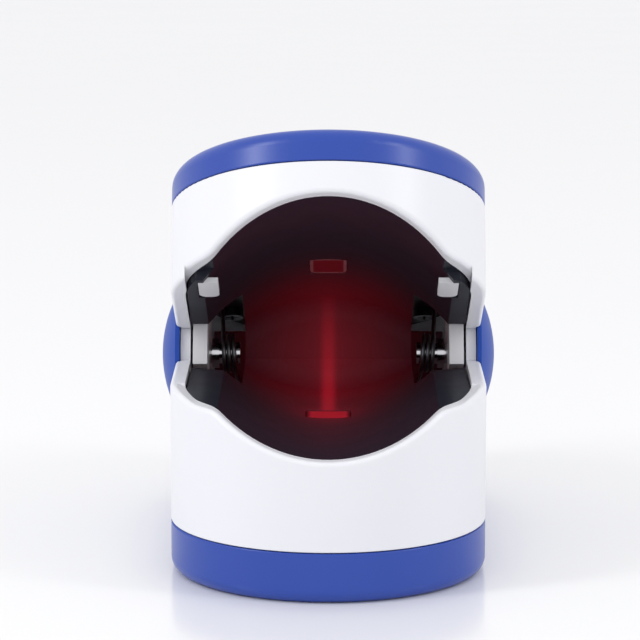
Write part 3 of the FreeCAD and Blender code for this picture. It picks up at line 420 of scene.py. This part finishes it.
def dress_nodes():
    window_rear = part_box("emitter_window")[1].y
    # Pools of painted red light on the rubber: the centre, the spread along each axis, and the
    # strength.
    channel_end_painted_light = ((0, 9 * MM, 19.5 * MM), (8.4 * MM, 13 * MM, 10 * MM), 0.085)
    emitter_painted_pool = ((0, -7 * MM, 15 * MM), (6.5 * MM, 12 * MM, 8 * MM), 0.025)
    window_rim_painted_light = ((0, -4.5 * MM, 15 * MM), (3.2 * MM, 3.6 * MM, 3 * MM), 0.06)
    streak_edge_painted_light = ((0, 8 * MM, 17 * MM), (1.9 * MM, 12 * MM, 7 * MM), 0.035)
    white = moulded("white_shell", (0.84, 0.845, 0.885), (0.82, 0.825, 0.87), 0.36)
    dress(white, "lower_housing", "upper_housing", "power_button")
    chassis = moulded("chassis_white", CHASSIS_WHITE, (0.74, 0.74, 0.78), 0.5, grain=0.03 * MM)
    dress(chassis, "lower_frame", "display_frame")
    dress(chassis_with_painted_shade(), "upper_frame")
    blue = moulded("royal_blue", *COVER_BLUE, 0.30)
    dress(blue, "base_cover", "battery_door", "top_bezel")
    satin_blue = moulded("satin_blue", (0.014, 0.062, 0.36), (0.018, 0.070, 0.39), 0.42,
                         specular=0.22)
    dress(satin_blue, "side_cap_left", "side_cap_right")
    lower_painted_pools = [channel_end_painted_light, emitter_painted_pool, window_rim_painted_light, streak_edge_painted_light]
    upper_painted_pools = [channel_end_painted_light, streak_edge_painted_light]
    dress(rubber_pad_with_painted_glow("lower_rubber_painted_glow", lower_painted_pools, window_rear), "lower_finger_pad")
    dress(rubber_pad_with_painted_glow("upper_rubber_painted_glow", upper_painted_pools, window_rear), "upper_finger_pad")
    dress(window_with_painted_glow("emitter_window_painted_glow", 0.27), "emitter_window")
    dress(rimmed_window_painted_glow("detector_glass_painted_glow"), "detector_window")
    dress(lit_segment("emitter_chips", (1.0, 0.03, 0.02), 2.0), "emitter_leds")
    dress(metal("bright_steel", (0.72, 0.72, 0.74), 0.12), "hinge_pin_left", "hinge_pin_right",
          "lower_screws")
    dress(metal("black_steel", (0.05, 0.05, 0.055), 0.45), "upper_screws")
    dress(metal("spring_wire", (0.13, 0.13, 0.14), 0.30), "torsion_spring_left",
          "torsion_spring_right")
    dress(metal("nickel_plate", (0.62, 0.60, 0.55), 0.30), "battery_contacts",
          "battery_springs")
    dress(smoked_glass(), "display_window")
    dress(circuit_board(), "emitter_board", "detector_board", "main_board")
    chip = moulded("chip_case", (0.018, 0.018, 0.020), (0.028, 0.028, 0.030), 0.55, grain=0.04 * MM)
    dress(chip, "processor", "sounder", "tact_switch", "photodiode")
    dress(cell_jacket(), "battery_cell_left", "battery_cell_right")
    dress(screen_glass(), "display_module")


# ---------------------------------------------------------------- the display's lit figures

def box_faces(first):
    """The six faces of a box whose eight corners start at a vertex number, lower ring first."""
    ring = range(4)
    sides = [(first + i, first + (i + 1) % 4, first + 4 + (i + 1) % 4, first + 4 + i) for i in ring]
    return [tuple(first + i for i in reversed(ring)), tuple(first + 4 + i for i in ring)] + sides


def add_piece(name, points, faces, material, body):
    """A closed mesh that rides on a body; its faces are turned outwards."""
    mesh = bpy.data.meshes.new(name)
    mesh.from_pydata(points, [], faces)
    shape = bmesh.new()
    shape.from_mesh(mesh)
    bmesh.ops.recalc_face_normals(shape, faces=shape.faces)
    shape.to_mesh(mesh)
    shape.free()
    mesh.materials.append(material)
    piece = bpy.data.objects.new(name, mesh)
    scene.collection.objects.link(piece)
    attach(piece, body)


def slabs(name, outlines, low, high, material, body):
    """Thin upright slabs in one piece, from four-cornered outlines drawn with the jaws shut."""
    points, faces = [], []
    for outline in outlines:
        faces += box_faces(len(points))
        points += [SWING @ Vector((x, y, height)) for height in (low, high) for x, y in outline]
    add_piece(name, points, faces, material, body)


def rectangle(left, right, bottom, top):
    return [(left, bottom), (right, bottom), (right, top), (left, top)]


# Which of the seven bars are lit, in the order that figure() draws them: top, upper left,
# upper right, middle, lower left, lower right, bottom.
BARS_OF = {"2": (0, 2, 3, 4, 6), "7": (0, 2, 5), "8": (0, 1, 2, 3, 4, 5, 6),
           "9": (0, 1, 2, 3, 5, 6)}


def bar_outline(start, end, thick):
    """A bar between two points that lie on one line along X or Y, short of both by a gap."""
    (x0, y0), (x1, y1) = start, end
    half = thick / 2
    gap = 0.12 * thick + half
    if abs(x1 - x0) > abs(y1 - y0):
        return rectangle(x0 + gap, x1 - gap, y0 - half, y0 + half)
    return rectangle(x0 - half, x0 + half, y0 + gap, y1 - gap)


def figure(digit, left, bottom, wide, tall, thick):
    """The lit bars of one seven-bar figure."""
    right, middle, top = left + wide, bottom + tall / 2, bottom + tall
    ends = [((left, top), (right, top)),
            ((left, middle), (left, top)),
            ((right, middle), (right, top)),
            ((left, middle), (right, middle)),
            ((left, bottom), (left, middle)),
            ((right, bottom), (right, middle)),
            ((left, bottom), (right, bottom))]
    return [bar_outline(*ends[i], thick) for i in BARS_OF[digit]]


def light_display():
    """Two two-figure readings, a strength bar and a pulse trace, seen through the smoked window."""
    low, high = shut_box("display_module")
    foot, top = high.z + 0.01 * MM, high.z + 0.05 * MM
    wide, tall, thick = 3.6 * MM, 6.6 * MM, 0.8 * MM
    left, step = low.x + 1.9 * MM, 5.0 * MM
    upper_row, lower_row = high.y - 8.6 * MM, high.y - 17.4 * MM
    readings = (("saturation_figures", "98", upper_row, CYAN),
                ("pulse_figures", "72", lower_row, AMBER))
    for name, digits, bottom, colour in readings:
        outlines = []
        for i, digit in enumerate(digits):
            outlines += figure(digit, left + i * step, bottom, wide, tall, thick)
        light = lit_segment(name + "_light", colour, 1.6)
        slabs(name, outlines, foot, top, light, "upper_body")
    bar_left, bar_right = high.x - 2.6 * MM, high.x - 1.3 * MM
    bar_count, bar_pitch, bar_height = 12, 1.3 * MM, 0.8 * MM
    strength_bars = []
    for i in range(bar_count):
        start = lower_row + i * bar_pitch
        strength_bars.append(rectangle(bar_left, bar_right, start, start + bar_height))
    slabs("strength_bars", strength_bars, foot, top, lit_segment("strength_light", GREEN, 1.2),
          "upper_body")
    ribbon("pulse_trace", low.x + 1.4 * MM, high.x - 1.4 * MM, low.y + 1.5 * MM, foot, top)


def beat_height(turn):
    """The height of a pulse wave, in metres, as a beat goes from 0 to 1."""
    peak = 2.4 * math.exp(-((turn - 0.28) / 0.10) ** 2)
    echo = 0.9 * math.exp(-((turn - 0.55) / 0.12) ** 2)
    return (peak + echo) * MM


def ribbon(name, left, right, base, foot, top):
    """A smooth pulse trace as one thin closed strip."""
    beats, steps, line = 4, 96, 0.32 * MM
    points, faces = [], []
    for i in range(steps + 1):
        x = left + (right - left) * i / steps
        y = base + beat_height((beats * i / steps) % 1)
        for height, rise in ((foot, 0), (foot, line), (top, line), (top, 0)):
            points.append(SWING @ Vector((x, y + rise, height)))
    for i in range(steps):
        first = 4 * i
        for side in range(4):
            following = (side + 1) % 4
            faces.append((first + side, first + following, first + 4 + following, first + 4 + side))
    faces += [(3, 2, 1, 0), tuple(4 * steps + side for side in range(4))]
    add_piece(name, points, faces, lit_segment("trace_light", CYAN, 1.2), "upper_body")


def mark_button():
    """A plain power sign, printed on the button: an open ring with a stroke through its gap."""
    low, high = shut_box("power_button")
    centre = (low + high) / 2
    foot, top = high.z - 0.02 * MM, high.z + 0.03 * MM
    inner, outer, gap, pieces = 1.35 * MM, 1.75 * MM, math.radians(35), 28
    turn = (2 * math.pi - 2 * gap) / pieces
    outlines = []
    for i in range(pieces):
        start = math.pi / 2 + gap + i * turn
        spots = ((inner, start), (outer, start), (outer, start + turn), (inner, start + turn))
        outlines.append([(centre.x + radius * math.cos(angle), centre.y + radius * math.sin(angle))
                         for radius, angle in spots])
    stroke_half, stroke_low, stroke_high = 0.2 * MM, 0.3 * MM, 1.95 * MM
    outlines.append(rectangle(centre.x - stroke_half, centre.x + stroke_half,
                              centre.y + stroke_low, centre.y + stroke_high))
    ink = moulded("sign_ink", *COVER_BLUE, 0.4)
    slabs("power_sign", outlines, foot, top, ink, "power_button_body")


make_camera()
light_scene()
make_floor()
dress_nodes()
light_display()
mark_button()

scene.view_settings.view_transform = "Standard"
